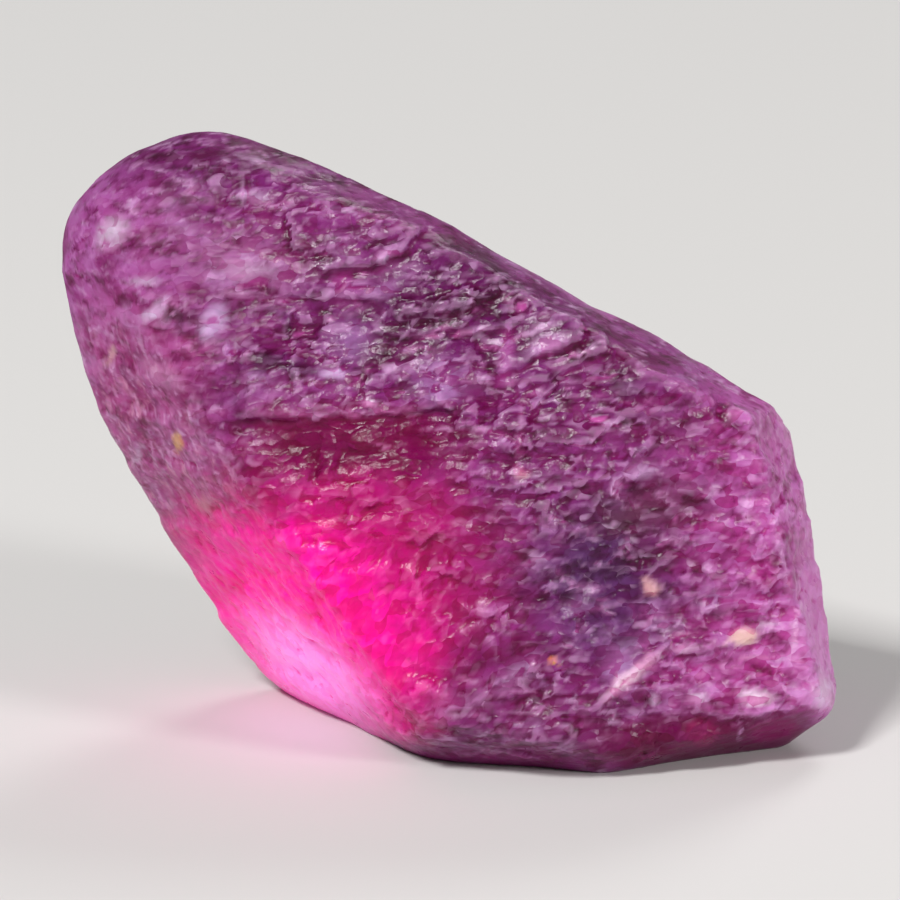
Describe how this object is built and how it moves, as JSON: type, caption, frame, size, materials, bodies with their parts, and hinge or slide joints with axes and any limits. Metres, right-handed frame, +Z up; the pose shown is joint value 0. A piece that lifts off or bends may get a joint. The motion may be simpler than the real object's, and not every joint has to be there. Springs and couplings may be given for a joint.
{
  "type": "raw sapphire crystal",
  "caption": "Rough pink-purple sapphire crystal, worn round at one end, with etched faces and growth ledges, resting on its flat broken foot.",
  "frame": {"origin": "centre of the bounding box at the flat foot that the crystal rests on", "axes": "+Z up; +X along the broad face, from the worn round end to the crisp end; -Y is the way the broad face looks"},
  "size_m": [0.0184, 0.0108, 0.0142],
  "materials": {
    "sapphire": "etched, translucent pink-purple corundum with milky veils"
  },
  "bodies": {
    "root": {"sapphire_crystal": "sapphire"}
  },
  "joints": []
}
